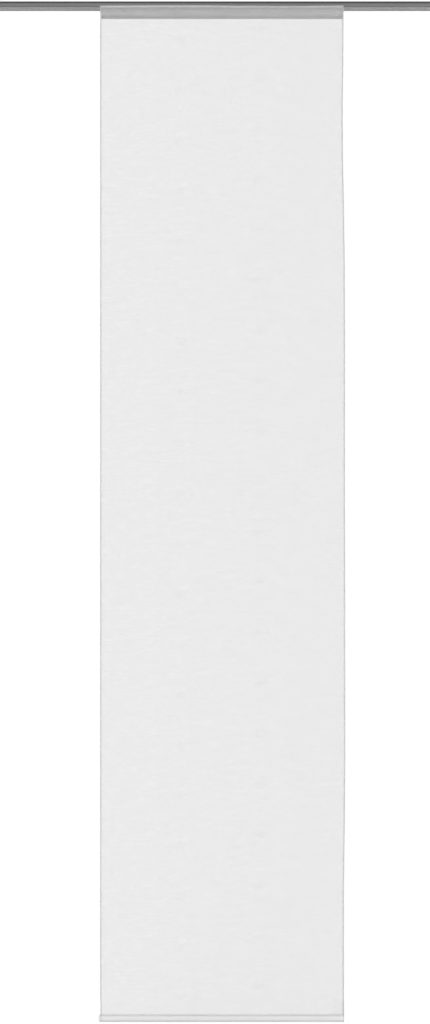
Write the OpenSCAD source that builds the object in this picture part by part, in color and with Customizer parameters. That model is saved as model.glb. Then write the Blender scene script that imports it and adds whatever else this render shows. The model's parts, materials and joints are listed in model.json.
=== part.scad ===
// Sliding panel curtain: a flat sheer panel that rolls along a two-channel ceiling track.
// Millimetres. X runs along the track, -Y faces the room and Z is up.
// The origin is the middle of the track's top face, where the track meets the ceiling.

/* [Track] */
// Length of the aluminium extrusion, without its end caps
track_len = 1196; // [900:2:2400]
// Height of the extrusion
track_h = 14; // [13:0.5:18]
// Wall thickness of the extrusion
track_wall = 1.6; // [1.2:0.1:2]
// Clear width inside each channel
channel_w = 15; // [14:0.5:20]
// Width of the slot in each channel's floor
slot_w = 6; // [5:0.2:7]
// Width of the open bay between the channels, where the ceiling screws go
bay_w = 13.6; // [10:0.2:24]
// Rounding of the extrusion's outer corners
track_round = 0.6; // [0.3:0.1:1]
// Height of the groove in each outer face that ceiling clips grip
clip_groove_h = 2.2; // [1:0.1:3]
// Depth of the clip groove
clip_groove_depth = 0.7; // [0.3:0.1:0.9]
// Drop from the top face to the clip groove
clip_groove_drop = 1.1; // [0.8:0.1:2]
// Height of the shadow line above each outer face's lower edge
shadow_line_h = 0.9; // [0.5:0.1:1.4]
// Depth of the shadow line
shadow_line_depth = 0.5; // [0.2:0.1:0.8]
// Diameter of a ceiling screw hole
screw_hole_d = 4.5; // [3.5:0.1:6]
// Distance from a track end to the nearest screw hole
screw_end = 73; // [40:1:150]

/* [Track ends] */
// Thickness of an end cap's face plate
end_plate_t = 2; // [1.5:0.1:3]
// Depth of the plugs that hold an end cap in the channels
end_plug_len = 6; // [4:0.5:8]
// Wall of those plugs
end_plug_wall = 1.4; // [1:0.1:2]
// Length of an end stop
stop_len = 12; // [10:0.5:16]
// Distance from a track end to the outer face of its stop
stop_inset = 8; // [8:0.5:20]
// Diameter of a stop's clamping screw
stop_screw_d = 4; // [3:0.5:4.5]
// Width across the flats of that screw's hexagon socket
stop_socket_w = 2; // [1.5:0.1:2.2]
// Depth of the hexagon socket
stop_socket_depth = 2; // [1:0.1:4]
// How far the screw's end stands below its stop
stop_screw_show = 0.8; // [0:0.1:1.2]
// Rounding of a stop's upright corners
stop_round = 1.5; // [0.5:0.1:3]

/* [Panel] */
// Finished width of the fabric
panel_w = 600; // [400:10:800]
// Finished drop of the fabric, top edge to bottom fold
panel_drop = 2500; // [1200:10:3000]
// How far the fabric stands up in front of the track's face
stand_up = 3.3; // [1:0.1:6]
// Thickness of one layer of fabric
fabric_t = 0.4; // [0.3:0.05:0.6]
// Width of the side hems
side_hem = 4; // [3:0.5:12]
// Height of the fold along the top edge
top_hem = 4.6; // [3:0.1:5]
// Height of the bottom hem's raw edge above its seam
hem_lap = 1.2; // [1:0.1:8]
// Rise from the bottom hem's pocket to its seam
seam_rise = 0.6; // [0.4:0.1:4]

/* [Carrier] */
// Height of the carrier profile
carrier_h = 27.5; // [26:0.5:45]
// Wall thickness of the carrier profile
carrier_wall = 1.6; // [1.2:0.1:2]
// How much shorter the carrier with its caps is than the fabric is wide
carrier_short = 5; // [2:0.5:20]
// Thickness of a carrier end cap's face plate
carrier_cap_t = 1.5; // [1:0.1:3]
// Depth of a carrier end cap's plug
carrier_plug_len = 6; // [4:0.5:8]
// Depth of the stiffening return along the carrier's lower edge
carrier_return = 4; // [2:0.5:8]
// Height of the hook and loop tapes
tape_h = 16; // [12:1:20]
// Height of the bare woven edges above and below a tape's pile
selvedge = 2; // [1:0.5:3]
// Thickness of a tape's woven band
tape_band = 0.4; // [0.3:0.05:0.6]
// Thickness of the hook tape with its hooks
hook_t = 1.2; // [0.8:0.1:2]
// Thickness of the loop tape with its loops
loop_t = 1; // [0.8:0.1:1.8]

/* [Trolleys] */
// Distance from the fabric's edge to the nearest trolley
trolley_inset = 20; // [18:1:60]
// Length of a trolley's foot along the carrier
foot_len = 14; // [10:1:16]
// Height of a trolley's foot
foot_h = 3.2; // [2.4:0.1:4.5]
// Corner rounding of a trolley's foot
foot_round = 1.5; // [0.5:0.1:2.5]
// Diameter of an axle
axle_d = 2; // [1.5:0.1:2.6]
// Diameter of an axle's riveted heads
axle_head_d = 3.2; // [2.8:0.1:3.8]
// Height of an axle's riveted heads
axle_head_t = 0.5; // [0.3:0.1:0.8]
// How much smaller a trolley's round head is than a wheel, in radius
head_inset = 0.6; // [0.4:0.1:1.2]
// Chamfer on a wheel's tread
wheel_chamfer = 0.35; // [0.1:0.05:0.6]
// Width of a wheel's rim
wheel_rim = 1; // [0.6:0.1:1.4]
// Depth of the dish in a wheel's outer face
wheel_dish = 0.8; // [0.3:0.1:1.4]
// Width of the hub's face around an axle head
wheel_hub_edge = 0.3; // [0.1:0.1:0.5]

/* [Weight bar] */
// Height of the flat steel bar
bar_h = 16; // [12:0.5:30]
// Thickness of the flat steel bar
bar_t = 2; // [1.5:0.1:4]
// How much shorter the capped bar is than the fabric is wide
bar_short = 5; // [0:0.5:20]
// How far the bar sits to the left of the panel's middle
bar_shift = 6; // [0:0.5:8]
// Wall of a bar cap around the bar
bar_cap_wall = 0.9; // [0.6:0.1:2]
// Solid end of a bar cap
bar_cap_end = 4; // [2:0.5:8]
// Depth of a bar cap's socket
bar_cap_socket = 8; // [5:0.5:20]
// Rounding of a bar cap's outer corners
bar_cap_round = 5; // [0.5:0.1:6]

/* [Clearances] */
// Gap between the track's face and the fabric's top fold
face_gap = 0.4; // [0.3:0.1:2]
// Gap between the track's underside and the carrier
carrier_gap = 1.5; // [0.8:0.1:3]
// Gap between a trolley's neck and each side of the track's slot
neck_gap = 0.9; // [0.6:0.1:1.2]
// Gap between a wheel and the channel floor that it runs on
wheel_gap = 0.1; // [0.05:0.01:0.2]
// Room above a wheel
wheel_headroom = 1.1; // [0.6:0.1:2]
// Gap between a wheel and its trolley
wheel_side_gap = 0.3; // [0.2:0.05:0.5]
// Gap between a wheel and the channel's side wall
wheel_wall_gap = 1.6; // [1.2:0.1:2.2]
// Radial clearance of an axle in its trolley
axle_run_clear = 0.05; // [0.02:0.01:0.1]
// Radial clearance of a wheel on its axle
wheel_seat_clear = 0.02; // [0.01:0.01:0.05]
// Play of a trolley's foot inside the carrier's groove
foot_play = 0.4; // [0.2:0.1:0.8]
// Side clearance of a foot and neck in the carrier's groove and slot
foot_side_gap = 0.2; // [0.1:0.05:0.4]
// Clearance of plugs and stops inside the channels
plug_gap = 0.3; // [0.1:0.05:0.5]
// Radial clearance of a stop's screw in its hole
stop_screw_clear = 0.02; // [0.01:0.01:0.05]
// Clearance around the tape in the carrier's recess
tape_gap = 0.2; // [0.1:0.05:0.5]
// Clearance of the capped bar inside the bottom hem
pocket_gap = 0.2; // [0.1:0.05:1]
// Clearance of the bar inside its caps
bar_seat_gap = 0.1; // [0.05:0.05:0.3]

/* [Hidden] */
$fn = 64;
// Overshoot of a cut past the face that it opens
cut = 1;
trolley_count = 4;

// Track: the front channel carries the panel, the rear one is free for a second panel
track_d = bay_w + 2 * (channel_w + 2 * track_wall);
channel_y = bay_w / 2 + track_wall + channel_w / 2;
run_y = -channel_y;
web_under = -track_wall;
lip_top = -track_h + track_wall;
clear_h = web_under - lip_top;
screw_pitch = (track_len - 2 * screw_end) / 3;
stop_x = track_len / 2 - stop_inset - stop_len / 2;

// Wheels and trolleys
wheel_r = (clear_h - wheel_headroom - wheel_gap) / 2;
axle_z = lip_top + wheel_gap + wheel_r;
neck_t = slot_w - 2 * neck_gap;
wheel_in = neck_t / 2 + wheel_side_gap;
wheel_out = channel_w / 2 - wheel_wall_gap;
head_r = wheel_r - head_inset;
trolley_span = panel_w - 2 * trolley_inset;

// Fabric and tapes, front to back
fabric_front = -track_d / 2 - face_gap - 2 * fabric_t;
sheet_back = fabric_front + fabric_t;
loop_back = sheet_back + loop_t;
hook_back = loop_back + hook_t;
fabric_top = -track_h + stand_up;
hem_fold = fabric_top - panel_drop;

// Carrier
carrier_len = panel_w - carrier_short - 2 * carrier_cap_t;
carrier_top = -track_h - carrier_gap;
carrier_foot = carrier_top - carrier_h;
plate_back = hook_back + carrier_wall;
groove_half = run_y - plate_back;
groove_top = carrier_top - carrier_wall;
groove_floor = groove_top - foot_h - foot_play;
carrier_slot_w = neck_t + 2 * foot_side_gap;
tape_z = carrier_top - carrier_h / 2;

// Weight bar and the hem pocket around its caps
bar_cap_h = bar_h + 2 * (bar_cap_wall + bar_seat_gap);
bar_cap_t = bar_t + 2 * (bar_cap_wall + bar_seat_gap);
bar_len = panel_w - bar_short - 2 * bar_cap_end;
fabric_mid = fabric_front + fabric_t / 2;
pocket_half = bar_cap_t / 2 + pocket_gap;
pocket_h = bar_cap_h + 2 * pocket_gap;
bar_z = hem_fold + fabric_t + pocket_h / 2;
pocket_reach = pocket_h / 2 - pocket_half;
hem_seam = bar_z + pocket_h / 2 + fabric_t + seam_rise;

track_grey = [0.55, 0.56, 0.57];
carrier_grey = [0.70, 0.71, 0.72];
plastic_grey = [0.60, 0.61, 0.62];
steel_grey = [0.66, 0.66, 0.68];
tape_grey = [0.74, 0.74, 0.74];
acetal_white = [0.90, 0.90, 0.89];
sheer_white = [0.93, 0.93, 0.93, 0.7];

// Extrudes an outline drawn as (Y, Z) along X, centred on the origin
module along_x(length) {
    rotate([90, 0, 90]) linear_extrude(height = length, center = true) children();
}

// Revolves an outline drawn as (radius, Y) about an axis along Y
module about_y() {
    rotate([-90, 0, 0]) rotate_extrude() children();
}

// A rectangle between two corners
module span(low, high) {
    translate(low) square(high - low);
}

// A rectangle between two corners, with its corners rounded
module round_span(low, high, radius) {
    span(low + [radius, 0], high - [radius, 0]);
    span(low + [0, radius], high - [0, radius]);
    for (y = [low[0] + radius, high[0] - radius], z = [low[1] + radius, high[1] - radius])
        translate([y, z]) circle(radius);
}

// Copies a right-hand piece to the left where side is -1
module handed(side) {
    mirror([side < 0 ? 1 : 0, 0, 0]) children();
}

// Points on a circular arc, from one angle to another
function arc(centre, radius, from, to, steps = 8) =
    [for (i = [0:steps]) let (a = from + (to - from) * i / steps)
        centre + radius * [cos(a), sin(a)]];

function trolley_x(i) = -trolley_span / 2 + trolley_span * (i - 1) / (trolley_count - 1);

// Track: one extrusion with two lipped channels joined by a web
module track_section() {
    difference() {
        round_span([-track_d / 2, -track_h], [track_d / 2, 0], track_round);
        for (side = [-1, 1]) {
            translate([side * channel_y, 0]) {
                span([-channel_w / 2, lip_top], [channel_w / 2, web_under]);
                span([-slot_w / 2, -track_h - cut], [slot_w / 2, lip_top + cut]);
            }
            translate([side * track_d / 2, -clip_groove_drop - clip_groove_h / 2])
                square([2 * clip_groove_depth, clip_groove_h], center = true);
            translate([side * track_d / 2, lip_top - track_wall / 2 + shadow_line_h / 2])
                square([2 * shadow_line_depth, shadow_line_h], center = true);
        }
        span([-bay_w / 2, -track_h - cut], [bay_w / 2, web_under]);
    }
}

module track() {
    color(track_grey) difference() {
        along_x(track_len) track_section();
        for (step = [-1.5, -0.5, 0.5, 1.5])
            translate([step * screw_pitch, 0, -track_wall - cut])
                cylinder(d = screw_hole_d, h = track_wall + 2 * cut);
    }
}

// End cap: a face plate with a hollow plug for each channel
module track_end_cap(side) {
    plug_w = channel_w - 2 * plug_gap;
    plug_low = lip_top + plug_gap;
    plug_high = web_under - plug_gap;
    color(plastic_grey) handed(side) {
        translate([track_len / 2 + end_plate_t / 2, 0, 0])
            along_x(end_plate_t)
                round_span([-track_d / 2, -track_h], [track_d / 2, 0], track_round);
        translate([track_len / 2 - end_plug_len / 2, 0, 0])
            for (y = [-channel_y, channel_y])
                translate([0, y, 0]) along_x(end_plug_len) difference() {
                    span([-plug_w / 2, plug_low], [plug_w / 2, plug_high]);
                    span([-plug_w / 2 + end_plug_wall, plug_low + end_plug_wall],
                         [plug_w / 2 - end_plug_wall, plug_high - end_plug_wall]);
                }
    }
}

// End stop: a block that stands on the front channel's floor and is jammed there by its screw
module end_stop(side) {
    color(plastic_grey) handed(side) translate([stop_x, run_y, 0]) difference() {
        translate([0, 0, lip_top])
            linear_extrude(height = clear_h - plug_gap)
                round_span([-stop_len / 2, plug_gap - channel_w / 2],
                           [stop_len / 2, channel_w / 2 - plug_gap], stop_round);
        translate([0, 0, lip_top - cut])
            cylinder(d = stop_screw_d + 2 * stop_screw_clear, h = clear_h + 2 * cut);
    }
}

module stop_screw(side) {
    color(steel_grey) handed(side) translate([stop_x, run_y, 0]) difference() {
        translate([0, 0, lip_top - stop_screw_show])
            cylinder(d = stop_screw_d, h = clear_h + stop_screw_show);
        translate([0, 0, lip_top - stop_screw_show - cut])
            cylinder(d = stop_socket_w / cos(30), h = stop_socket_depth + cut, $fn = 6);
    }
}

// Carrier: a plate with a tape recess in front and a groove for the trolleys' feet behind
module carrier_outline() {
    span([hook_back, carrier_foot], [plate_back, carrier_top]);
    span([plate_back - carrier_wall, groove_floor - carrier_wall],
         [run_y + groove_half + carrier_wall, carrier_top]);
}

module carrier_section() {
    recess = tape_h / 2 + tape_gap;
    difference() {
        union() {
            carrier_outline();
            span([loop_back, carrier_foot], [plate_back, tape_z - recess]);
            span([loop_back, tape_z + recess], [plate_back, carrier_top]);
            span([plate_back - carrier_wall, carrier_foot],
                 [plate_back + carrier_return, carrier_foot + carrier_wall]);
        }
        translate([run_y, 0]) {
            span([-groove_half, groove_floor], [groove_half, groove_top]);
            span([-carrier_slot_w / 2, groove_floor], [carrier_slot_w / 2, carrier_top + cut]);
        }
    }
}

module carrier_profile() {
    color(carrier_grey) along_x(carrier_len) carrier_section();
}

module carrier_end_cap(side) {
    plug_half = groove_half - foot_side_gap;
    color(plastic_grey) handed(side) {
        translate([carrier_len / 2 + carrier_cap_t / 2, 0, 0])
            along_x(carrier_cap_t) {
                carrier_outline();
                span([loop_back, carrier_foot], [plate_back + carrier_return, carrier_top]);
            }
        translate([carrier_len / 2 - carrier_plug_len / 2, run_y, 0])
            along_x(carrier_plug_len)
                span([-plug_half, groove_floor + foot_side_gap],
                     [plug_half, groove_top - foot_side_gap]);
    }
}

// Tapes: hooks on the carrier, loops sewn to the back of the fabric, each a woven band with raised pile
module tape_section(front, back, pile_front, pile_back) {
    pile_h = tape_h - 2 * selvedge;
    span([front, tape_z - tape_h / 2], [back, tape_z + tape_h / 2]);
    span([pile_front, tape_z - pile_h / 2], [pile_back, tape_z + pile_h / 2]);
}

module hook_tape() {
    color(tape_grey) along_x(carrier_len)
        tape_section(hook_back - tape_band, hook_back, loop_back, hook_back);
}

module loop_tape() {
    color(tape_grey) along_x(panel_w - 2 * side_hem - carrier_short)
        tape_section(sheet_back, sheet_back + tape_band, sheet_back, loop_back);
}

// Fabric: one sheet with a folded top edge, folded sides and a pocket for the weight bar
module fabric_section() {
    upper = [fabric_mid, bar_z + pocket_reach];
    lower = [fabric_mid, bar_z - pocket_reach];
    outer = pocket_half + fabric_t;
    fold_back = sheet_back + fabric_t;
    difference() {
        polygon(concat(
            [[fabric_front, fabric_top], [fabric_front, hem_seam]],
            arc(upper, outer, 120, 180), arc(lower, outer, 180, 360), arc(upper, outer, 0, 60),
            [[fold_back, hem_seam], [fold_back, hem_seam + hem_lap],
             [sheet_back, hem_seam + hem_lap], [sheet_back, fabric_top - top_hem],
             [fold_back, fabric_top - top_hem], [fold_back, fabric_top]]));
        polygon(concat(arc(upper, pocket_half, 0, 180), arc(lower, pocket_half, 180, 360)));
    }
}

module fabric_panel() {
    fold_low = hem_seam + hem_lap;
    fold_high = fabric_top - top_hem;
    color(sheer_white) {
        along_x(panel_w) fabric_section();
        for (side = [-1, 1])
            translate([side * (panel_w - side_hem) / 2, 0, 0])
                along_x(side_hem) span([fabric_front, fold_low], [sheet_back + fabric_t, fold_high]);
    }
}

// Weight bar: a flat steel bar with rounded edges, capped at both ends
module weight_bar() {
    color(acetal_white) translate([-bar_shift, fabric_mid, bar_z])
        along_x(bar_len) {
            square([bar_t, bar_h - bar_t], center = true);
            for (side = [-1, 1])
                translate([0, side * (bar_h - bar_t) / 2]) circle(d = bar_t);
        }
}

module weight_bar_cap(side) {
    cap_len = bar_cap_end + bar_cap_socket;
    color(acetal_white) translate([-bar_shift, fabric_mid, bar_z]) handed(side)
        translate([bar_len / 2 - bar_cap_socket, 0, 0]) difference() {
            intersection() {
                translate([cap_len / 2, 0, 0]) along_x(cap_len) {
                    square([bar_cap_t, bar_cap_h - bar_cap_t], center = true);
                    for (end = [-1, 1])
                        translate([0, end * (bar_cap_h - bar_cap_t) / 2]) circle(d = bar_cap_t);
                }
                rotate([90, 0, 0]) linear_extrude(height = 2 * bar_cap_t, center = true)
                    round_span([-bar_cap_round, -bar_cap_h / 2], [cap_len, bar_cap_h / 2],
                               bar_cap_round);
            }
            translate([(bar_cap_socket - cut) / 2, 0, 0]) along_x(bar_cap_socket + cut)
                square([bar_t + 2 * bar_seat_gap, bar_h + 2 * bar_seat_gap], center = true);
        }
}

// Trolley: a foot held in the carrier's groove, a tapered neck through both slots and a bored head
module trolley(i) {
    shoulder = foot_len / 2 - foot_round;
    color(acetal_white) translate([trolley_x(i), run_y, 0]) difference() {
        union() {
            translate([0, 0, groove_top - foot_h])
                linear_extrude(height = foot_h)
                    round_span([-foot_len / 2, foot_side_gap - groove_half],
                               [foot_len / 2, groove_half - foot_side_gap], foot_round);
            rotate([90, 0, 0]) linear_extrude(height = neck_t, center = true) {
                polygon([[-shoulder, groove_top - cut], [shoulder, groove_top - cut], [shoulder, groove_top],
                         [head_r, lip_top], [head_r, axle_z], [-head_r, axle_z],
                         [-head_r, lip_top], [-shoulder, groove_top]]);
                translate([0, axle_z]) circle(head_r);
            }
        }
        translate([0, 0, axle_z]) rotate([90, 0, 0])
            cylinder(r = axle_d / 2 + axle_run_clear, h = neck_t + 2 * cut, center = true);
    }
}

// Axle: a pin through the trolley with a domed rivet head outside each wheel
module axle(i) {
    rivet_r = axle_head_d / 2;
    dome_r = (rivet_r * rivet_r + axle_head_t * axle_head_t) / (2 * axle_head_t);
    dome_rim = 90 - asin(rivet_r / dome_r);
    color(steel_grey) translate([trolley_x(i), run_y, axle_z]) {
        rotate([90, 0, 0]) cylinder(d = axle_d, h = 2 * wheel_out, center = true);
        for (side = [0, 1])
            mirror([0, side, 0]) translate([0, wheel_out, 0]) about_y()
                polygon(concat([[0, 0]], arc([0, axle_head_t - dome_r], dome_r, dome_rim, 90)));
    }
}

// Wheel: a chamfered tread with a dished outer face round the hub
module wheel(i, side) {
    bore_r = axle_d / 2 + wheel_seat_clear;
    boss_r = axle_head_d / 2 + wheel_hub_edge;
    rim_r = wheel_r - wheel_rim;
    color(acetal_white) translate([trolley_x(i), run_y, axle_z])
        mirror([0, side < 0 ? 1 : 0, 0]) about_y() polygon([
            [bore_r, wheel_in], [wheel_r - wheel_chamfer, wheel_in],
            [wheel_r, wheel_in + wheel_chamfer], [wheel_r, wheel_out - wheel_chamfer],
            [wheel_r - wheel_chamfer, wheel_out], [rim_r, wheel_out],
            [rim_r, wheel_out - wheel_dish], [boss_r, wheel_out - wheel_dish],
            [boss_r, wheel_out], [bore_r, wheel_out]]);
}

track();
track_end_cap(-1);  // track_end_cap_left
track_end_cap(1);  // track_end_cap_right
end_stop(-1);  // end_stop_left
end_stop(1);  // end_stop_right
stop_screw(-1);  // stop_screw_left
stop_screw(1);  // stop_screw_right
carrier_profile();
carrier_end_cap(-1);  // carrier_end_cap_left
carrier_end_cap(1);  // carrier_end_cap_right
hook_tape();
loop_tape();
fabric_panel();
weight_bar();
weight_bar_cap(-1);  // weight_bar_cap_left
weight_bar_cap(1);  // weight_bar_cap_right
for (i = [1:trolley_count]) {
    trolley(i);
    axle(i);
    wheel(i, -1);
    wheel(i, 1);
}
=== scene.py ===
import json
import math

import bpy
import numpy as np
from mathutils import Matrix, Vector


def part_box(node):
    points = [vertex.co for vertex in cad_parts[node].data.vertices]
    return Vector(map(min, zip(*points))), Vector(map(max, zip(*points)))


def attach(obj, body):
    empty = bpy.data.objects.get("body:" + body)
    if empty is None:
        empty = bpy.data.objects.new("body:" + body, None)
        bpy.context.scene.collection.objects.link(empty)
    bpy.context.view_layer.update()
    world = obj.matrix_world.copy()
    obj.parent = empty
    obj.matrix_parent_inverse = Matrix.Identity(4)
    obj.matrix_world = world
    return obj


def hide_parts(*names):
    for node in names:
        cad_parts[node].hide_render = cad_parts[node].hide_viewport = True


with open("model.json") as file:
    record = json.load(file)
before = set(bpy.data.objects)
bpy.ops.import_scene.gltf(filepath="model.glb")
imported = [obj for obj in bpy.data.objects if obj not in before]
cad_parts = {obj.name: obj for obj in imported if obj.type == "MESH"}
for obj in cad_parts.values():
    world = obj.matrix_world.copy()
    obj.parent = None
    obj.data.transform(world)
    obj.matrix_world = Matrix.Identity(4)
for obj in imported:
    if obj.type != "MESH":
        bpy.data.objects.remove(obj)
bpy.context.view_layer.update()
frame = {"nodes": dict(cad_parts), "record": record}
nodes = frame["nodes"]
print("frame loaded:", len(nodes), "nodes")


def onlyPick(*objects):
    bpy.ops.object.select_all(action="DESELECT")
    for each in objects:
        each.select_set(True)
        bpy.context.view_layer.objects.active = each


def applyAll(obj):
    onlyPick(obj)
    for modifier in list(obj.modifiers):
        bpy.ops.object.modifier_apply(modifier=modifier.name)


# camera, set level in front of the panel as the photo was taken
cameraSet = {"place": (-0.0173, -6.026, -1.2562), "lens": 85.77, "sensor": 36.0, "farthest": 300.0}

bpy.ops.object.select_all(action="DESELECT")
bpy.ops.object.camera_add(location=cameraSet["place"], rotation=(math.radians(90), 0, 0))
camera = bpy.context.object
camera.data.lens = cameraSet["lens"]
camera.data.sensor_width = cameraSet["sensor"]
camera.data.clip_end = cameraSet["farthest"]
bpy.context.scene.camera = camera
bpy.context.scene.view_settings.view_transform = "Standard"
print("camera placed")


# node helpers
def addNode(tree, kind, **values):
    made = tree.nodes.new(kind)
    for key, value in values.items():
        setattr(made, key, value)
    return made


def feed(tree, socket, value):
    if isinstance(value, bpy.types.NodeSocket):
        tree.links.new(value, socket)
    else:
        socket.default_value = value


def calc(tree, operation, first, second=0.0, third=0.0):
    made = addNode(tree, "ShaderNodeMath", operation=operation)
    for socket, value in zip(made.inputs, (first, second, third)):
        feed(tree, socket, value)
    return made.outputs[0]


def product(tree, first, *others):
    for each in others:
        first = calc(tree, "MULTIPLY", first, each)
    return first


# 1 outside a mask and the factor inside it
def masked(tree, mask, factor):
    return calc(tree, "MULTIPLY_ADD", mask, calc(tree, "SUBTRACT", factor, 1.0), 1.0)


def ramp(tree, value, fromLow, fromHigh, toLow, toHigh, kind="LINEAR"):
    made = addNode(tree, "ShaderNodeMapRange", interpolation_type=kind)
    for name, each in (("Value", value), ("From Min", fromLow), ("From Max", fromHigh),
                       ("To Min", toLow), ("To Max", toHigh)):
        feed(tree, made.inputs[name], each)
    return made.outputs["Result"]


# a mask that goes softly from 0 at the start to 1 at the end
def fade(tree, value, start, end):
    return ramp(tree, value, start, end, 0.0, 1.0, "SMOOTHSTEP")


# a noise laid out from low to high; nearly all of its values lie between lower and upper
def spread(tree, value, low, high, lower=0.3, upper=0.7):
    return ramp(tree, value, lower, upper, low, high)


# a tone between the middle two of four distances from the start, and 1 before the first and past the last
def dip(tree, value, start, distances, tone):
    before, opens, closes, past = [start - each for each in distances]
    return calc(tree, "MAXIMUM", ramp(tree, value, opens, before, tone, 1.0),
                ramp(tree, value, closes, past, tone, 1.0))


def between(tree, value, low, high):
    return calc(tree, "COMPARE", value, (low + high) / 2, (high - low) / 2)


def split(tree, vector):
    made = addNode(tree, "ShaderNodeSeparateXYZ")
    feed(tree, made.inputs[0], vector)
    return made.outputs


def stretch(tree, vector, amounts):
    made = addNode(tree, "ShaderNodeVectorMath", operation="MULTIPLY")
    feed(tree, made.inputs[0], vector)
    made.inputs[1].default_value = amounts
    return made.outputs[0]


def noise(tree, vector, scale, detail=3.0, roughness=0.55):
    made = addNode(tree, "ShaderNodeTexNoise")
    feed(tree, made.inputs["Vector"], vector)
    feed(tree, made.inputs["Scale"], scale)
    made.inputs["Detail"].default_value = detail
    made.inputs["Roughness"].default_value = roughness
    return made.outputs[0]


def shaded(tree, colour, factor):
    made = addNode(tree, "ShaderNodeVectorMath", operation="SCALE")
    made.inputs[0].default_value = colour
    feed(tree, made.inputs["Scale"], factor)
    return made.outputs[0]


def newGroup(name, values, outputs):
    group = bpy.data.node_groups.new(name, "ShaderNodeTree")
    group.interface.new_socket(name="Vector", in_out="INPUT", socket_type="NodeSocketVector")
    for label in values:
        group.interface.new_socket(name=label, in_out="INPUT", socket_type="NodeSocketFloat")
    for label in outputs:
        group.interface.new_socket(name=label, in_out="OUTPUT", socket_type="NodeSocketFloat")
    return group, addNode(group, "NodeGroupInput").outputs, addNode(group, "NodeGroupOutput").inputs


# drawn lines along X, as an extrusion die leaves them
drawnSet = {"stretch": (0.002, 1.0, 1.0), "broad": 0.2, "tint": (0.94, 1.05), "gloss": (0.85, 1.15)}


def drawnGroup():
    tree, entry, leave = newGroup("drawnLines", ("Lines",), ("Tint", "Gloss", "Height"))
    along = stretch(tree, entry["Vector"], drawnSet["stretch"])
    broad = noise(tree, along, calc(tree, "MULTIPLY", entry["Lines"], drawnSet["broad"]), detail=4.0)
    fine = noise(tree, along, entry["Lines"], detail=2.0)
    feed(tree, leave["Tint"], spread(tree, broad, *drawnSet["tint"]))
    feed(tree, leave["Gloss"], spread(tree, fine, *drawnSet["gloss"]))
    feed(tree, leave["Height"], fine)
    return tree


# fine spark grain of an injection mould, with slow clouding
mouldSet = {"clouds": 45.0, "tint": (0.965, 1.025), "gloss": (0.88, 1.14)}


def mouldGroup():
    tree, entry, leave = newGroup("mouldGrain", ("Grain",), ("Tint", "Gloss", "Height"))
    grain = noise(tree, entry["Vector"], entry["Grain"], detail=2.0)
    cloud = noise(tree, entry["Vector"], mouldSet["clouds"])
    feed(tree, leave["Tint"], spread(tree, cloud, *mouldSet["tint"]))
    feed(tree, leave["Gloss"], spread(tree, grain, *mouldSet["gloss"]))
    feed(tree, leave["Height"], grain)
    return tree


# plain weave in metres of cloth: warp and weft cross, and slubs and light patches come back in each repeat
weaveSet = {
    "yarns": (14.0, 420.0, 1.0), "patches": (26.0, 75.0, 1.0),  # noise steps to a metre, across and along
    "thick": (0.62, 0.74), "thin": (0.38, 0.26),                # values of the yarn noise that make slubs
    "plain": (0.25, 0.75), "plainShare": 0.15,                  # the slight difference of all other yarns
    "light": (0.54, 0.68), "lightShare": 0.6,
}


def weaveGroup():
    tree, entry, leave = newGroup("plainWeave", ("Pitch", "Repeat", "Slub"), ("Thread", "Height", "Slubs"))
    place = split(tree, entry["Vector"])
    turn = calc(tree, "DIVIDE", math.pi, entry["Pitch"])
    waveX = calc(tree, "SINE", calc(tree, "MULTIPLY", place["X"], turn))
    waveY = calc(tree, "SINE", calc(tree, "MULTIPLY", place["Y"], turn))
    over = calc(tree, "MULTIPLY_ADD", calc(tree, "MULTIPLY", waveX, waveY), 0.5, 0.5)
    warp = product(tree, calc(tree, "ABSOLUTE", waveX), over)
    weft = product(tree, calc(tree, "ABSOLUTE", waveY), calc(tree, "SUBTRACT", 1.0, over))
    thread = calc(tree, "MAXIMUM", warp, weft)
    wound = addNode(tree, "ShaderNodeCombineXYZ")
    feed(tree, wound.inputs["X"], place["X"])
    feed(tree, wound.inputs["Y"], calc(tree, "WRAP", place["Y"], entry["Repeat"], 0.0))
    yarns = noise(tree, stretch(tree, wound.outputs[0], weaveSet["yarns"]), 1.0, roughness=0.6)
    patches = noise(tree, stretch(tree, wound.outputs[0], weaveSet["patches"]), 1.0, detail=2.0)
    slubs = calc(tree, "SUBTRACT", ramp(tree, yarns, *weaveSet["thick"], 0.0, 1.0),
                 ramp(tree, yarns, *weaveSet["thin"], 0.0, 1.0))
    plain = ramp(tree, yarns, *weaveSet["plain"], -1.0, 1.0)
    slubs = calc(tree, "MULTIPLY_ADD", plain, weaveSet["plainShare"], slubs)
    light = ramp(tree, patches, *weaveSet["light"], 0.0, weaveSet["lightShare"])
    slubs = calc(tree, "SUBTRACT", slubs, light)
    feed(tree, leave["Thread"], thread)
    feed(tree, leave["Height"], calc(tree, "MULTIPLY_ADD", yarns, entry["Slub"], thread))
    feed(tree, leave["Slubs"], slubs)
    return tree


drawnLines = drawnGroup()
mouldGrain = mouldGroup()
plainWeave = weaveGroup()
print("node groups built")


def newMaterial(name):
    material = bpy.data.materials.new(name)
    material.use_nodes = True
    tree = material.node_tree
    tree.nodes.clear()
    shader = addNode(tree, "ShaderNodeBsdfPrincipled")
    tree.links.new(shader.outputs[0], addNode(tree, "ShaderNodeOutputMaterial").inputs["Surface"])
    return material, tree, shader


def placeGroup(tree, group, vector, **values):
    made = addNode(tree, "ShaderNodeGroup", node_tree=group)
    feed(tree, made.inputs["Vector"], vector)
    for label, value in values.items():
        made.inputs[label].default_value = value
    return made.outputs


def bump(tree, shader, height, strength, depth):
    made = addNode(tree, "ShaderNodeBump")
    made.inputs["Strength"].default_value = strength
    made.inputs["Distance"].default_value = depth
    feed(tree, made.inputs["Height"], height)
    feed(tree, shader.inputs["Normal"], made.outputs[0])


def objectPoint(tree):
    return addNode(tree, "ShaderNodeTexCoord").outputs["Object"]


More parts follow.
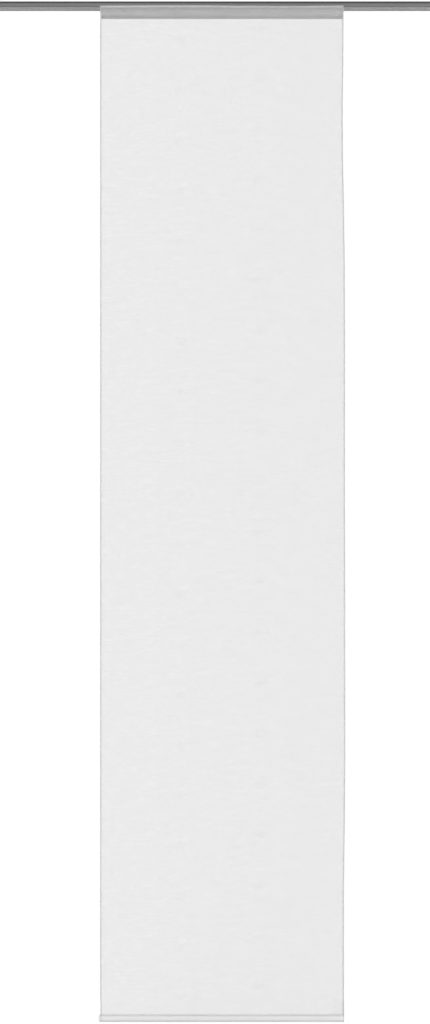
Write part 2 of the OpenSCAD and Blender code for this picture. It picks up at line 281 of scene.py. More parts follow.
# painted shade on groove floors, faces below the clip groove, rounded lower edges, channel insides and lip
# undersides, and painted light in the bay; depths run in from its sides, drops from its top and rises from
# its foot
paintedShadeAndLightSet = {
    "groove": 0.2, "grooveDepths": (0.0001, 0.00025, 0.0009, 0.0012),      # floors of the outer grooves
    "underGroove": 0.72, "underDrops": (0.0032, 0.0034, 0.0045, 0.0070),   # outer faces below the clip groove
    "lowEdge": 0.70, "lowRises": (0.0003, 0.0008),                         # rounded lower edges
    "faceDepth": 0.0007,                                                   # what counts as an outer face
    "bay": 1.7, "bayMargin": 0.001,                                        # bright bay between the channels
    "channel": 0.8, "channelMargin": 0.0004,                               # insides of the channels
    "innerLip": 0.78, "skin": 0.00005,                                     # undersides of the lips by the bay
}
trackLow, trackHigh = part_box("track")
openings = {each["name"]: each["box_m"] for each in frame["record"]["physics"]["openings"]}


def paintedShadeAndLightTint(tree):
    place = split(tree, objectPoint(tree))
    height = place["Z"]
    out = calc(tree, "ABSOLUTE", place["Y"])
    side, underside = trackHigh.y, trackLow.z + paintedShadeAndLightSet["skin"]
    bayHigh = openings["screw_bay"][1]
    channelLow, channelHigh = openings["rear_channel"]
    slotLow = openings["rear_slot"][0]

    groove = dip(tree, out, side, paintedShadeAndLightSet["grooveDepths"], paintedShadeAndLightSet["groove"])
    underGroove = dip(tree, height, trackHigh.z, paintedShadeAndLightSet["underDrops"], paintedShadeAndLightSet["underGroove"])
    rounded, straight = [trackLow.z + rise for rise in paintedShadeAndLightSet["lowRises"]]
    lowEdge = ramp(tree, height, rounded, straight, paintedShadeAndLightSet["lowEdge"], 1.0)
    onFace = calc(tree, "GREATER_THAN", out, side - paintedShadeAndLightSet["faceDepth"])
    margin = paintedShadeAndLightSet["bayMargin"]
    inBay = product(tree, calc(tree, "LESS_THAN", out, bayHigh[1] + margin),
                    calc(tree, "LESS_THAN", height, bayHigh[2] + margin),
                    calc(tree, "GREATER_THAN", height, underside))
    margin = paintedShadeAndLightSet["channelMargin"]
    inChannel = product(tree, between(tree, out, channelLow[1] - margin, channelHigh[1] + margin),
                        between(tree, height, channelLow[2] - margin, channelHigh[2] + margin))
    innerLip = product(tree, between(tree, out, bayHigh[1], slotLow[1]),
                       calc(tree, "LESS_THAN", height, underside))
    return product(tree, groove, masked(tree, onFace, product(tree, underGroove, lowEdge)),
                   masked(tree, inBay, paintedShadeAndLightSet["bay"]), masked(tree, inChannel, paintedShadeAndLightSet["channel"]),
                   masked(tree, innerLip, paintedShadeAndLightSet["innerLip"]))


# bare extruded metal
metalSet = {
    "track_aluminium": {"colour": (0.465, 0.465, 0.46), "rough": 0.36, "lines": 1500.0,
                        "bump": (0.10, 0.0002)},
    "carrier_aluminium": {"colour": (0.56, 0.56, 0.557), "rough": 0.32, "lines": 1100.0,
                          "bump": (0.14, 0.0002)},
}


def metalFinish(name, look):
    material, tree, shader = newMaterial(name)
    lines = placeGroup(tree, drawnLines, objectPoint(tree), Lines=look["lines"])
    tint = lines["Tint"]
    # the track also gets its painted shade and light
    if name == "track_aluminium":
        tint = product(tree, tint, paintedShadeAndLightTint(tree))
    feed(tree, shader.inputs["Base Color"], shaded(tree, look["colour"], tint))
    feed(tree, shader.inputs["Roughness"], product(tree, lines["Gloss"], look["rough"]))
    shader.inputs["Metallic"].default_value = 1.0
    bump(tree, shader, lines["Height"], *look["bump"])
    return material


# moulded caps and stops, bar caps, trolleys and wheels
plasticSet = {
    "grey_plastic": {"colour": (0.25, 0.25, 0.255), "rough": 0.48, "grain": 2600.0, "bump": (0.12, 0.0001)},
    "white_plastic": {"colour": (0.80, 0.80, 0.79), "rough": 0.42, "grain": 2400.0, "bump": (0.08, 0.0001)},
    "acetal": {"colour": (0.78, 0.78, 0.76), "rough": 0.27, "grain": 1400.0, "bump": (0.05, 0.0001)},
}


def plasticFinish(name, look):
    material, tree, shader = newMaterial(name)
    skin = placeGroup(tree, mouldGrain, objectPoint(tree), Grain=look["grain"])
    feed(tree, shader.inputs["Base Color"], shaded(tree, look["colour"], skin["Tint"]))
    feed(tree, shader.inputs["Roughness"], product(tree, skin["Gloss"], look["rough"]))
    bump(tree, shader, skin["Height"], *look["bump"])
    return material


# zinc plate: bright, with soft spangle
zincSet = {"colour": (0.58, 0.58, 0.60), "spangle": 900.0, "tint": (0.88, 1.08), "rough": (0.22, 0.4)}


def zincFinish():
    material, tree, shader = newMaterial("zinced_steel")
    spangle = noise(tree, objectPoint(tree), zincSet["spangle"], detail=2.0)
    tint = spread(tree, spangle, *zincSet["tint"])
    feed(tree, shader.inputs["Base Color"], shaded(tree, zincSet["colour"], tint))
    feed(tree, shader.inputs["Roughness"], spread(tree, spangle, *zincSet["rough"]))
    shader.inputs["Metallic"].default_value = 1.0
    return material


# white stove lacquer on the weight bar, with the bar's drawn lines just telling through it
lacquerSet = {
    "colour": (0.93, 0.93, 0.92), "tint": (0.98, 1.01), "rough": 0.3, "lines": 500.0, "bump": (0.05, 0.0002),
    "coat": 0.3,
}


def lacquerFinish():
    material, tree, shader = newMaterial("bar_lacquer")
    lines = placeGroup(tree, drawnLines, objectPoint(tree), Lines=lacquerSet["lines"])
    tint = ramp(tree, lines["Tint"], *drawnSet["tint"], *lacquerSet["tint"])
    feed(tree, shader.inputs["Base Color"], shaded(tree, lacquerSet["colour"], tint))
    feed(tree, shader.inputs["Roughness"], product(tree, lines["Gloss"], lacquerSet["rough"]))
    bump(tree, shader, lines["Height"], *lacquerSet["bump"])
    shader.inputs["Coat Weight"].default_value = lacquerSet["coat"]
    return material


# hook and loop tape: a felted pile of fine hairs between flat woven edges
tapeSet = {
    "colour": (0.51, 0.51, 0.505), "rough": 0.9, "sheen": 0.25, "bump": (0.5, 0.0004),
    "hairs": 1800.0, "hairTint": (0.86, 1.1),
    "tufts": 260.0, "tuftTint": (0.93, 1.06),
    "worn": 55.0, "wornTint": (0.88, 1.12), "wornRange": (0.35, 0.65),
    "selvedge": (0.0035, 0.0015),     # where the pile thins out and where it ends, from the tape's edge
    "selvedgeTint": 0.74,
}
tapeLow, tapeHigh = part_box("loop_tape")


def tapeFinish():
    material, tree, shader = newMaterial("tape")
    hairs = noise(tree, objectPoint(tree), tapeSet["hairs"], roughness=0.7)
    tufts = noise(tree, objectPoint(tree), tapeSet["tufts"], detail=2.0)
    worn = noise(tree, objectPoint(tree), tapeSet["worn"])
    middle, half = (tapeLow.z + tapeHigh.z) / 2, (tapeHigh.z - tapeLow.z) / 2
    height = split(tree, objectPoint(tree))["Z"]
    fromMiddle = calc(tree, "ABSOLUTE", calc(tree, "SUBTRACT", height, middle))
    thins, ends = [half - each for each in tapeSet["selvedge"]]
    pile = product(tree, spread(tree, hairs, *tapeSet["hairTint"]), spread(tree, tufts, *tapeSet["tuftTint"]),
                   spread(tree, worn, *tapeSet["wornTint"], *tapeSet["wornRange"]),
                   ramp(tree, fromMiddle, thins, ends, 1.0, tapeSet["selvedgeTint"], "SMOOTHSTEP"))
    feed(tree, shader.inputs["Base Color"], shaded(tree, tapeSet["colour"], pile))
    shader.inputs["Roughness"].default_value = tapeSet["rough"]
    shader.inputs["Sheen Weight"].default_value = tapeSet["sheen"]
    bump(tree, shader, hairs, *tapeSet["bump"])
    return material


finishes = {name: metalFinish(name, look) for name, look in metalSet.items()}
finishes.update({name: plasticFinish(name, look) for name, look in plasticSet.items()})
finishes["zinced_steel"] = zincFinish()
finishes["bar_lacquer"] = lacquerFinish()
finishes["tape"] = tapeFinish()

for part in frame["record"]["subparts"]:
    slot = part["material_slot"]
    if slot in finishes:
        nodes[part["node"]].data.materials.clear()
        nodes[part["node"]].data.materials.append(finishes[slot])
print("finishes set on the CAD nodes:", len(finishes))


# the panel: one cut of voile with folded sides, a folded top and a sewn tunnel round the weight bar
panelSet = {
    "flat": (0.6082, 2.5287),         # the cut before it was folded and sewn, across and along
    "hem": 0.004,                     # side hems
    "topHem": 0.0046,
    "seamLap": 0.0003,                # raw edge behind the sheet, just above the tunnel's seam
    "seamRise": 0.0191,               # seam above the bottom fold
    "hemGap": 0.0002,                 # middle of the sheet to the middle of its hem
    "foldGap": 0.0006,                # middle of the sheet to the middle of the top fold
    "thick": 0.00015,
    "front": -0.0261,                 # middle of the sheet's thickness in front
    "wrap": 0.00242,                  # radius of the cloth round the bar's rounded edges
    "barReach": 0.007,                # the bar's middle to the centres of those edges
    "crease": 60,                     # degrees from which an edge shades sharp
}
# columns and rows of the cloth; an even run of them is given as first, step and count
gridSet = {
    # columns, by distance from the side fold
    "nearFold": (0.001, 0.002, 0.003, 0.004, 0.005, 0.007),
    "nearSide": (0.010, 0.0035, 16),
    "middle": (0.080, 0.020, 11),
    # rows, by drop from the top and then by rise from the seam
    "nearTop": (0.002, 0.005, 0.008, 0.012, 0.018, 0.026, 0.036, 0.05, 0.07),
    "free": (0.09, 0.06, 118),        # drop, rise and the number of long even steps between them
    "aboveSeam": (0.057, -0.003, 17),
    "nearSeam": (0.007, 0.005, 0.0035, 0.002, 0.001, 0.0),
    # round stretches: start and end in degrees, and number of points
    "sideFold": (135, 270, 4),
    "topFold": (0, 180, 7),
    "meetsBar": (134, 180, 6),
    "underBar": (180, 360, 13),
    "leavesBar": (0, 40, 5),
    # steps on a flat hem, and on the front and the back of the bar
    "hemSteps": 4, "frontSteps": 6, "backSteps": 4,
}
# how the cloth hangs away from the straight panel
hangSet = {
    # wander of the loose side edges: height, offset; and the power by which it fades across the sheet
    "leftEdge": ((0.0, 0.0), (-2.44, 0.0), (-2.475, 0.0008), (-2.52, 0.0008)),
    "rightEdge": ((0.0, -0.0010), (-0.13, -0.0014), (-0.28, -0.0030), (-0.37, -0.0023), (-0.54, 0.0005),
                  (-0.66, 0.0022), (-0.84, 0.0028), (-1.22, 0.0024), (-1.40, 0.0031), (-1.88, 0.0033),
                  (-2.02, 0.0024), (-2.10, 0.0010), (-2.20, 0.0001), (-2.52, 0.0)),
    "leftFade": 12, "rightFade": 3,
    # wave of the free top edge above the tape: place across, rise; and the heights between which it sets in
    "topEdge": ((-0.30, -0.0003), (-0.23, 0.0), (-0.13, 0.0006), (-0.05, 0.0005), (0.03, -0.0004),
                (0.16, -0.0010), (0.24, -0.0006), (0.30, 0.0001)),
    "topHeights": (-0.020, -0.012),
    # the tunnel's left mouth: its corners, how far its middle draws in, and the drops where it sets in
    "mouth": (-0.0008, 0.0050), "mouthDrops": (0.0004, 0.0030),
    # slow ripple of the free cloth: depth, where it sets in below the ceiling and above the seam, and sway
    "ripple": 0.0007, "rippleDrops": (0.06, 0.5), "rippleRises": (0.01, 0.35), "sway": (1.1, 1.7),
    # waves of the ripple: size, turn across, turn along the height, phase, share of the sway
    "waves": ((1.0, 23.0, 0.0, 0.6, 1.0), (0.6, 41.0, -0.9, 2.0, 0.0), (0.5, 6.0, 2.9, 0.0, 0.0)),
    # drag lines in the bottom right corner: place, rise above the seam, tilt, half width, half length, depth
    "drags": ((0.283, 0.012, 0.85, 0.0036, 0.014, 0.0015), (0.257, 0.022, 0.05, 0.0045, 0.024, 0.0011)),
    "dragRises": (0.001, 0.008),      # where they set in
}

clothLow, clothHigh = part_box("fabric_panel")
barLow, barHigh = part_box("weight_bar")
halfWidth = clothHigh.x
clothTop, clothFoot = clothHigh.z, clothLow.z
seamHeight = clothFoot + panelSet["seamRise"]
barY, barZ = (barLow.y + barHigh.y) / 2, (barLow.z + barHigh.z) / 2


def softStep(value, low, high):
    share = np.clip((value - low) / (high - low), 0.0, 1.0)
    return share * share * (3 - 2 * share)


def keyed(value, keys):
    places, amounts = np.array(sorted(keys)).T
    upper = np.clip(np.searchsorted(places, value), 1, len(places) - 1)
    share = softStep(value, places[upper - 1], places[upper])
    return amounts[upper - 1] * (1 - share) + amounts[upper] * share


# moves a point of the straight panel to where the hanging cloth has it
def hang(x, y, z):
    aboveSeam = z - seamHeight
    right = np.clip((x + halfWidth) / (2 * halfWidth), 0, 1)
    left = 1 - right
    corner, middle = hangSet["mouth"]
    mouth = corner + middle * np.clip(1 - ((z - barZ) / panelSet["barReach"]) ** 2, 0, 1)
    inTunnel = softStep(-aboveSeam, *hangSet["mouthDrops"])
    leftMove = keyed(z, hangSet["leftEdge"]) * (1 - inTunnel) + mouth * inTunnel
    rightMove = keyed(z, hangSet["rightEdge"])
    moveX = rightMove * right ** hangSet["rightFade"] + leftMove * left ** hangSet["leftFade"]

    swaySize, swayTurn = hangSet["sway"]
    sway = swaySize * np.sin(swayTurn * z)
    waves = sum(size * np.sin(turnX * x + turnZ * z + phase + share * sway)
                for size, turnX, turnZ, phase, share in hangSet["waves"])
    free = softStep(-z, *hangSet["rippleDrops"]) * softStep(aboveSeam, *hangSet["rippleRises"])
    moveY = hangSet["ripple"] * free * waves
    for midX, rise, tilt, wide, tall, deep in hangSet["drags"]:
        alongX, alongZ = math.sin(tilt), math.cos(tilt)
        offX, offZ = x - midX, aboveSeam - rise
        across = offX * alongZ - offZ * alongX
        length = offX * alongX + offZ * alongZ
        drag = np.exp(-(across / wide) ** 2 - (length / tall) ** 2)
        moveY = moveY - deep * drag * softStep(aboveSeam, *hangSet["dragRises"])

    moveZ = keyed(x, hangSet["topEdge"]) * softStep(z, *hangSet["topHeights"])
    return x + moveX, y + moveY, z + moveZ


def evenRun(first, step, count):
    return [first + step * number for number in range(count)]


# points on a round edge, from one angle to another in degrees
def arc(middle, radius, start, end, count):
    return [(middle[0] + radius * math.cos(angle), middle[1] + radius * math.sin(angle))
            for angle in np.radians(np.linspace(start, end, count))]


# flat distance along a folded path, and the path's two coordinates
def laidFlat(points):
    path = np.array(points)
    steps = np.hypot(*np.diff(path, axis=0).T)
    return np.concatenate([[0.0], np.cumsum(steps)]), path[:, 0], path[:, 1]


# place across and depth behind the front, from one raw edge to the other
def acrossPath():
    bend, steps = panelSet["hemGap"] / 2, gridSet["hemSteps"]
    end = halfWidth - bend
    points = [(-halfWidth + panelSet["hem"] * (1 - step / steps), 2 * bend) for step in range(steps)]
    points += [(-end, 2 * bend)] + arc((-end, bend), bend, *gridSet["sideFold"])
    reaches = [*gridSet["nearFold"], *evenRun(*gridSet["nearSide"]), *evenRun(*gridSet["middle"])]
    points += [(-halfWidth + reach, 0.0) for reach in reaches]
    points += [(0.0, 0.0)] + [(-x, depth) for x, depth in points[::-1]]
    return laidFlat(points)


# depth and height, from the raw edge of the top fold to the raw edge behind the seam
def alongPath():
    front, bend, wrap = panelSet["front"], panelSet["foldGap"] / 2, panelSet["wrap"]
    back, steps = front + 2 * bend, gridSet["hemSteps"]
    points = [(back, clothTop - panelSet["topHem"] * (1 - step / steps)) for step in range(steps)]
    points += arc((front + bend, clothTop - bend), bend, *gridSet["topFold"])
    points += [(front, clothTop - drop) for drop in gridSet["nearTop"]]
    drop, rise, steps = gridSet["free"]
    points += [(front, height) for height in np.linspace(clothTop - drop, seamHeight + rise, steps + 1)]
    points += [(front, seamHeight + each) for each in evenRun(*gridSet["aboveSeam"])]
    points += [(front, seamHeight + each) for each in gridSet["nearSeam"]]
    top, low = barZ + panelSet["barReach"], barZ - panelSet["barReach"]
    points += arc((barY, top), wrap, *gridSet["meetsBar"])
    points += [(barY - wrap, height) for height in np.linspace(top, low, gridSet["frontSteps"] + 1)[1:-1]]
    points += arc((barY, low), wrap, *gridSet["underBar"])
    points += [(barY + wrap, height) for height in np.linspace(low, top, gridSet["backSteps"] + 1)[1:-1]]
    points += arc((barY, top), wrap, *gridSet["leavesBar"])
    points += [(back, seamHeight), (back, seamHeight + panelSet["seamLap"])]
    return laidFlat(points)


acrossFlat, acrossX, acrossDepth = acrossPath()
alongFlat, alongY, alongZ = alongPath()
print("cut of the cloth:", round(acrossFlat[-1], 4), "x", round(alongFlat[-1], 4), "m")
slopeY, slopeZ = np.gradient(alongY), np.gradient(alongZ)
slope = np.hypot(slopeY, slopeZ)
behindY, behindZ = -slopeZ / slope, slopeY / slope

bpy.ops.object.select_all(action="DESELECT")
bpy.ops.mesh.primitive_grid_add(x_subdivisions=len(acrossX) - 1, y_subdivisions=len(alongZ) - 1, size=1)
cloth = bpy.context.object
cloth.name = "fabricSheet"
mesh = cloth.data
grid = np.empty(len(mesh.vertices) * 3)
mesh.vertices.foreach_get("co", grid)
grid = grid.reshape(-1, 3)
column = np.rint((grid[:, 0] + 0.5) * (len(acrossX) - 1)).astype(int)
row = np.rint((grid[:, 1] + 0.5) * (len(alongZ) - 1)).astype(int)
depth = acrossDepth[column]
hungX, hungY, hungZ = hang(acrossX[column], alongY[row], alongZ[row])
placed = np.stack([hungX, hungY + behindY[row] * depth, hungZ + behindZ[row] * depth], axis=1)
mesh.vertices.foreach_set("co", placed.ravel())

# the flat cut is the cloth's own UV map, so weave and hems follow the threads
loopVertex = np.empty(len(mesh.loops), dtype=int)
mesh.loops.foreach_get("vertex_index", loopVertex)
flatMap = np.stack([acrossFlat[column] / acrossFlat[-1], alongFlat[row] / alongFlat[-1]], axis=1)
mesh.uv_layers[0].name = "flat"
mesh.uv_layers[0].data.foreach_set("uv", flatMap[loopVertex].ravel())
mesh.update()

solidify = cloth.modifiers.new("thickness", "SOLIDIFY")
solidify.thickness = panelSet["thick"]
solidify.offset = 0
applyAll(cloth)
bpy.ops.object.shade_smooth_by_angle(angle=math.radians(panelSet["crease"]))
print("cloth made:", len(cloth.data.polygons), "faces")

# sheer voile: threads let about half of the light behind through; folds and the tunnel are denser, and its
# colour carries painted shade and light on the side folds, the bottom right corner and the tunnel
voileSet = {
    # places are metres across the cut, between which a pair of values goes from its first to its second
    "colour": (0.73, 0.73, 0.73), "rough": 0.85, "specular": 0.2, "sheen": 0.1, "bump": (0.25, 0.0002),
    "pitch": 0.0007, "slubHeight": 0.6, "threadTint": (0.96, 1.03),
    "open": (0.25, 0.39),                                   # opacity beside the threads and on them
    "drift": (-0.010, 0.010), "driftPlaces": (0.0, 0.5),
    "repeat": 0.124,                                        # length at which slubs and knots come back
    "slub": (0.034, 0.016), "slubPlaces": (0.1, 0.4),
    "knots": ((0.208, 0.089), (0.397, 0.060)),              # the two in each repeat, across and along
    "knotSize": (0.026, 0.012), "knotRim": (1.0, 0.1), "knotDense": 0.04,
    "knotSlubs": (-0.4, 0.4), "knotYarn": (0.2, 1.5),       # a knot shows in the thick yarns
    "edgeReach": (0.0028, 0.0018), "edgeDense": 0.38,       # side folds
    # painted shade on the side folds, deeper towards the right side
    "edgeShade": (0.99, 0.92), "edgePlaces": (0.2, 0.4),
    "topReach": (2.1, 1.9),                                 # top fold, in top hems
    "topDense": (0.68, 0.52), "topPlaces": (0.0, 0.5),
    "tunnelStart": (0.0014, 0.0028), "tunnelEnd": (0.0232, 0.0216),  # metres of cloth below the seam
    # painted light on the tunnel's cloth where the white bar lies behind it, less at its folded sides
    "tunnelDense": 0.84, "tunnelLift": 1.36, "tunnelSides": 0.86,
    "corner": (0.050, 0.045, 0.018, 0.001),                 # gathered corner: width, top, full height, foot
    # painted shade darkens the corner's colour, besides its denser cloth
    "cornerDense": 0.07, "cornerShade": 0.88,
    # painted shade and light on the cloth round the bar, darker over its rounded edges, by metres of cloth
    # below the seam, and the length that it spans
    "barTone": ((0.0, 0.90), (0.0022, 0.80), (0.0044, 0.72), (0.0063, 0.98), (0.0113, 1.11), (0.0137, 0.96),
                (0.0167, 0.78), (0.0211, 0.72)),
    "barSpan": 0.025,
}


# masks of the side folds, the top fold, the tunnel and the gathered bottom right corner, on the flat cut;
# they place denser cloth and painted shade and light
def voileMasks(tree, fromLeft, fromTop, belowSeam):
    width = float(acrossFlat[-1])
    fromSide = calc(tree, "MINIMUM", fromLeft, calc(tree, "SUBTRACT", width, fromLeft))
    fromFold = calc(tree, "ABSOLUTE", calc(tree, "SUBTRACT", fromSide, panelSet["hem"]))
    topEnds, topFull = [share * panelSet["topHem"] for share in voileSet["topReach"]]
    cornerWide, cornerTop, cornerFull, cornerFoot = voileSet["corner"]
    return {
        "edge": fade(tree, fromFold, *voileSet["edgeReach"]),
        "top": fade(tree, fromTop, topEnds, topFull),
        "tunnel": product(tree, fade(tree, belowSeam, *voileSet["tunnelStart"]),
                          fade(tree, belowSeam, *voileSet["tunnelEnd"])),
        "corner": product(tree, fade(tree, fromLeft, width - cornerWide, width - panelSet["hem"]),
                          fade(tree, belowSeam, -cornerTop, -cornerFull),
                          calc(tree, "LESS_THAN", belowSeam, cornerFoot)),
    }


# tone of the threads, with painted shade on the folded edges (more towards the right) and in the bottom right
# corner, and painted light and shade on the cloth over the white bar
def voileTint(tree, masks, thread, fromLeft, belowSeam):
    edgeShade = product(tree, ramp(tree, fromLeft, *voileSet["edgePlaces"], *voileSet["edgeShade"]),
                        masked(tree, masks["corner"], voileSet["cornerShade"]))
    # painted shade and light along the tunnel, darker over the bar's rounded edges
    tone = addNode(tree, "ShaderNodeValToRGB")
    tone.color_ramp.interpolation = "B_SPLINE"
    stops = tone.color_ramp.elements
    for number, (below, grey) in enumerate(voileSet["barTone"]):
        stop = stops[number] if number < 2 else stops.new(1.0)  # a new ramp has two stops
        stop.position = below / voileSet["barSpan"]
        stop.color = (grey, grey, grey, 1.0)
    feed(tree, tone.inputs[0], calc(tree, "DIVIDE", belowSeam, voileSet["barSpan"]))
    lift = product(tree, tone.outputs[0], voileSet["tunnelLift"],
                   masked(tree, masks["edge"], voileSet["tunnelSides"]))
    return product(tree, masked(tree, masks["edge"], edgeShade), masked(tree, masks["tunnel"], lift),
                   ramp(tree, thread, 0.0, 1.0, *voileSet["threadTint"]))


# opacity of the open weave with its slubs and knots, and of the doubled places
def voileOpacity(tree, masks, weave, fromLeft, fromTop):
    slub = ramp(tree, fromLeft, *voileSet["slubPlaces"], *voileSet["slub"])
    threads = ramp(tree, weave["Thread"], 0.0, 1.0, *voileSet["open"])
    opacity = calc(tree, "MULTIPLY_ADD", weave["Slubs"], slub, threads)
    opacity = calc(tree, "ADD", opacity, ramp(tree, fromLeft, *voileSet["driftPlaces"], *voileSet["drift"]))
    inRepeat = calc(tree, "WRAP", fromTop, voileSet["repeat"], 0.0)
    knotWide, knotTall = voileSet["knotSize"]
    knotYarn = ramp(tree, weave["Slubs"], *voileSet["knotSlubs"], *voileSet["knotYarn"])
    for across, along in voileSet["knots"]:
        offX = calc(tree, "DIVIDE", calc(tree, "SUBTRACT", fromLeft, across), knotWide)
        offY = calc(tree, "DIVIDE", calc(tree, "SUBTRACT", inRepeat, along), knotTall)
        away = calc(tree, "ADD", calc(tree, "POWER", offX, 2.0), calc(tree, "POWER", offY, 2.0))
        knot = fade(tree, calc(tree, "SQRT", away), *voileSet["knotRim"])
        opacity = calc(tree, "MULTIPLY_ADD", product(tree, knot, voileSet["knotDense"]), knotYarn, opacity)
    opacity = calc(tree, "MULTIPLY_ADD", masks["corner"], voileSet["cornerDense"], opacity)
    topDense = ramp(tree, fromLeft, *voileSet["topPlaces"], *voileSet["topDense"])
    doubled = {"edge": voileSet["edgeDense"], "tunnel": voileSet["tunnelDense"], "top": topDense}
    for name, dense in doubled.items():
        opacity = calc(tree, "MAXIMUM", opacity, product(tree, masks[name], dense))
    return opacity


def voileFinish():
    material, tree, shader = newMaterial("sheer_fabric")
    flat = addNode(tree, "ShaderNodeUVMap", uv_map="flat").outputs[0]
    metres = stretch(tree, flat, (float(acrossFlat[-1]), float(alongFlat[-1]), 1.0))
    weave = placeGroup(tree, plainWeave, metres, Pitch=voileSet["pitch"], Repeat=voileSet["repeat"],
                       Slub=voileSet["slubHeight"])
    cut = split(tree, metres)
    fromLeft, fromTop = cut["X"], cut["Y"]
    seamRow = np.argmin(np.hypot(alongY - panelSet["front"], alongZ - seamHeight))
    belowSeam = calc(tree, "SUBTRACT", fromTop, float(alongFlat[seamRow]))
    masks = voileMasks(tree, fromLeft, fromTop, belowSeam)
    tint = voileTint(tree, masks, weave["Thread"], fromLeft, belowSeam)
    feed(tree, shader.inputs["Base Color"], shaded(tree, voileSet["colour"], tint))
    feed(tree, shader.inputs["Alpha"], voileOpacity(tree, masks, weave, fromLeft, fromTop))
    shader.inputs["Roughness"].default_value = voileSet["rough"]
    shader.inputs["Specular IOR Level"].default_value = voileSet["specular"]
    shader.inputs["Sheen Weight"].default_value = voileSet["sheen"]
    bump(tree, shader, weave["Height"], *voileSet["bump"])
    return material


cloth.data.materials.clear()
cloth.data.materials.append(voileFinish())
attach(cloth, "panel")
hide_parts("fabric_panel")


# stitching: one lockstitch is shaped, and each row is a copy of it, repeated along its seam
stitchSet = {
    "length": 0.0023, "thick": 0.00028, "sides": 6, "straight": 0.5, "taper": 0.5, "dip": 0.00012,
    "pitch": 0.0028, "proud": 0.00006,
    "endFacing": 0.9,                                            # an end face looks this much along Z
    "sideInset": 0.0032, "sideTop": -0.020, "sideFoot": 0.001,   # rows on the side hems
    "tapeInset": (0.002, 0.001),                                 # rows on the tape, from its ends and edges
    "topDrop": 0.0036, "endInset": 0.006,                        # rows on the top fold and the tunnel's seam
}


def seamRows():
    hemRow, foot = halfWidth - stitchSet["sideInset"], seamHeight + stitchSet["sideFoot"]
    for name, x in (("sideLeft", -hemRow), ("sideRight", hemRow)):
        yield name, (x, stitchSet["sideTop"]), (x, foot)
    fromEnd, fromEdge = stitchSet["tapeInset"]
    for name, z in (("tapeUpper", tapeHigh.z - fromEdge), ("tapeLower", tapeLow.z + fromEdge)):
        yield name, (tapeLow.x + fromEnd, z), (tapeHigh.x - fromEnd, z)
    reach = halfWidth - stitchSet["endInset"]
    for name, z in (("topFold", clothTop - stitchSet["topDrop"]), ("bottomSeam", seamHeight)):
        yield name, (-reach, z), (reach, z)


def pickFaces(obj, test):
    bpy.ops.mesh.select_all(action="DESELECT")
    bpy.ops.object.mode_set(mode="OBJECT")
    for face in obj.data.polygons:
        face.select = test(face)
    bpy.ops.object.mode_set(mode="EDIT")


# a short upright thread whose ends taper and dip into the cloth
def shapeStitch():
    straight = stitchSet["length"] * stitchSet["straight"]
    bpy.ops.object.select_all(action="DESELECT")
    radius = stitchSet["thick"] / 2
    bpy.ops.mesh.primitive_cylinder_add(vertices=stitchSet["sides"], radius=radius, depth=straight)
    made = bpy.context.object
    made.name = "stitch"
    bpy.ops.object.mode_set(mode="EDIT")
    bpy.ops.mesh.select_mode(type="FACE")
    for side in (1, -1):
        pickFaces(made, lambda face: face.normal.z * side > stitchSet["endFacing"])
        reach = side * (stitchSet["length"] - straight) / 2
        # unlike an extrusion, an inset keeps one order of faces
        bpy.ops.mesh.inset(thickness=0, use_individual=True)
        bpy.ops.transform.translate(value=(0, stitchSet["dip"], reach))
        bpy.ops.transform.resize(value=(stitchSet["taper"], stitchSet["taper"], 1.0))
    bpy.ops.object.mode_set(mode="OBJECT")
    return made


def stitchRow(stitch, name, start, end):
    upright = start[0] == end[0]
    run = abs(end[1] - start[1]) if upright else end[0] - start[0]
    onlyPick(stitch)
    bpy.ops.object.duplicate()
    made = bpy.context.object
    made.name = name
    bpy.ops.object.mode_set(mode="EDIT")
    bpy.ops.mesh.select_all(action="SELECT")
    if not upright:
        bpy.ops.transform.rotate(value=math.radians(90), orient_axis="Y", center_override=(0, 0, 0))
    front = panelSet["front"] - panelSet["thick"] / 2 - stitchSet["proud"]
    bpy.ops.transform.translate(value=(start[0], front, start[1]))
    bpy.ops.object.mode_set(mode="OBJECT")
    array = made.modifiers.new("row", "ARRAY")
    array.use_relative_offset = False
    array.use_constant_offset = True
    array.constant_offset_displace = (0, 0, -stitchSet["pitch"]) if upright else (stitchSet["pitch"], 0, 0)
    array.count = int(run / stitchSet["pitch"])
    applyAll(made)
    return made


stitch = shapeStitch()
stitchRows = [stitchRow(stitch, *each) for each in seamRows()]
onlyPick(stitch)
bpy.ops.object.delete()
onlyPick(*stitchRows)
bpy.ops.object.join()
stitching = bpy.context.object
stitching.name = "stitching"
sewn = np.empty(len(stitching.data.vertices) * 3)
stitching.data.vertices.foreach_get("co", sewn)
sewn = np.stack(hang(*sewn.reshape(-1, 3).T), axis=1)  # the thread goes where the cloth goes
stitching.data.vertices.foreach_set("co", sewn.ravel())
stitching.data.update()
onlyPick(stitching)
bpy.ops.object.shade_smooth()

threadSet = {
    "colour": (0.80, 0.80, 0.80), "twist": 4200.0, "tint": (0.9, 1.06), "rough": 0.7, "bump": (0.3, 0.0001),
}


def threadFinish():
    material, tree, shader = newMaterial("thread")
    twist = noise(tree, objectPoint(tree), threadSet["twist"], detail=2.0)
    tint = spread(tree, twist, *threadSet["tint"])
    feed(tree, shader.inputs["Base Color"], shaded(tree, threadSet["colour"], tint))
    shader.inputs["Roughness"].default_value = threadSet["rough"]
    bump(tree, shader, twist, *threadSet["bump"])
    return material


stitching.data.materials.clear()
stitching.data.materials.append(threadFinish())
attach(stitching, "panel")
print("stitching made:", len(stitching.data.polygons), "faces")


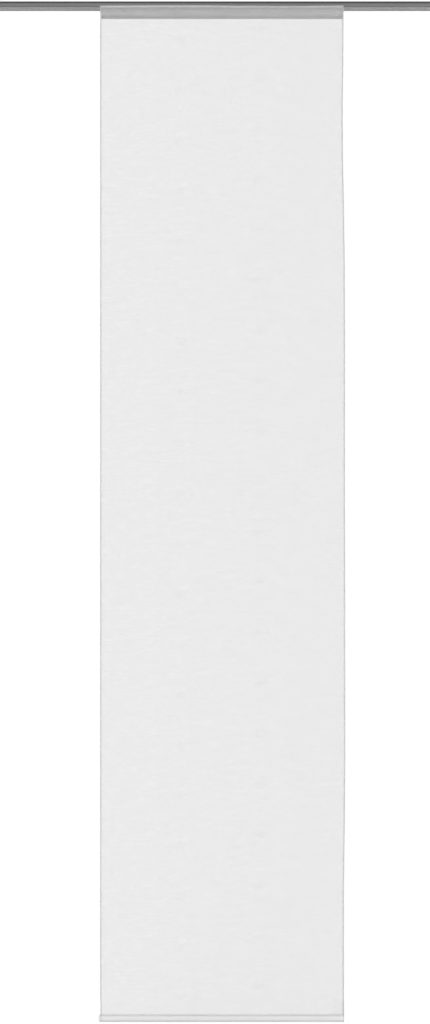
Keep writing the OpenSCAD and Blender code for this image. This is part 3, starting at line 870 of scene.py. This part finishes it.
# stage: a pale floor under the panel's foot and a studio that is plain white to the camera
stageSet = {
    "floorGap": 0.010, "floorSize": 80.0, "floorColour": (0.86, 0.86, 0.86), "floorRough": 0.9,
    "scuffs": 3.0, "scuffTint": (0.98, 1.02),
    "white": 1.03,
    # light from the two ends of the room and from the rest of it, and the aims between which they meet
    "roomFront": 0.22, "roomBehind": 0.55, "roomSide": 1.30,
    "turnPlaces": (-0.5, 0.5), "endPlaces": (0.6, 0.95), "leftward": 0.04,
}


# the camera sees plain white, and all other rays get the real floor or room
def whiteToCamera(tree, lit, white):
    seen = addNode(tree, "ShaderNodeMixShader")
    feed(tree, seen.inputs[0], addNode(tree, "ShaderNodeLightPath").outputs["Is Camera Ray"])
    feed(tree, seen.inputs[1], lit)
    feed(tree, seen.inputs[2], white)
    return seen.outputs[0]


def floorFinish():
    material, tree, shader = newMaterial("paleFloor")
    scuff = noise(tree, objectPoint(tree), stageSet["scuffs"])
    tint = spread(tree, scuff, *stageSet["scuffTint"])
    feed(tree, shader.inputs["Base Color"], shaded(tree, stageSet["floorColour"], tint))
    shader.inputs["Roughness"].default_value = stageSet["floorRough"]
    glow = addNode(tree, "ShaderNodeEmission")
    glow.inputs["Strength"].default_value = stageSet["white"]
    output = next(each for each in tree.nodes if each.type == "OUTPUT_MATERIAL")
    feed(tree, output.inputs["Surface"], whiteToCamera(tree, shader.outputs[0], glow.outputs[0]))
    return material


def roomLight():
    world = bpy.data.worlds.new("studio")
    world.use_nodes = True
    tree = world.node_tree
    tree.nodes.clear()
    aim = split(tree, addNode(tree, "ShaderNodeTexCoord").outputs["Generated"])
    ends = ramp(tree, aim["Y"], *stageSet["turnPlaces"], stageSet["roomFront"], stageSet["roomBehind"])
    walls = ramp(tree, calc(tree, "ABSOLUTE", aim["Y"]), *stageSet["endPlaces"], stageSet["roomSide"], ends,
                 "SMOOTHSTEP")
    leftward = calc(tree, "MULTIPLY_ADD", aim["X"], -stageSet["leftward"], 1.0)
    room = addNode(tree, "ShaderNodeBackground")
    room.inputs["Color"].default_value = (1, 1, 1, 1)
    feed(tree, room.inputs["Strength"], product(tree, walls, leftward))
    plain = addNode(tree, "ShaderNodeBackground")
    plain.inputs["Color"].default_value = (1, 1, 1, 1)
    plain.inputs["Strength"].default_value = stageSet["white"]
    output = addNode(tree, "ShaderNodeOutputWorld")
    feed(tree, output.inputs["Surface"], whiteToCamera(tree, room.outputs[0], plain.outputs[0]))
    return world


bpy.ops.object.select_all(action="DESELECT")
floorHeight = clothFoot - stageSet["floorGap"]
bpy.ops.mesh.primitive_plane_add(size=stageSet["floorSize"], location=(0, 0, floorHeight))
floor = bpy.context.object
floor.name = "floor"
bpy.ops.object.transform_apply(location=True, rotation=False, scale=False)
floor.data.materials.append(floorFinish())
bpy.context.scene.world = roomLight()
print("stage and room light set")
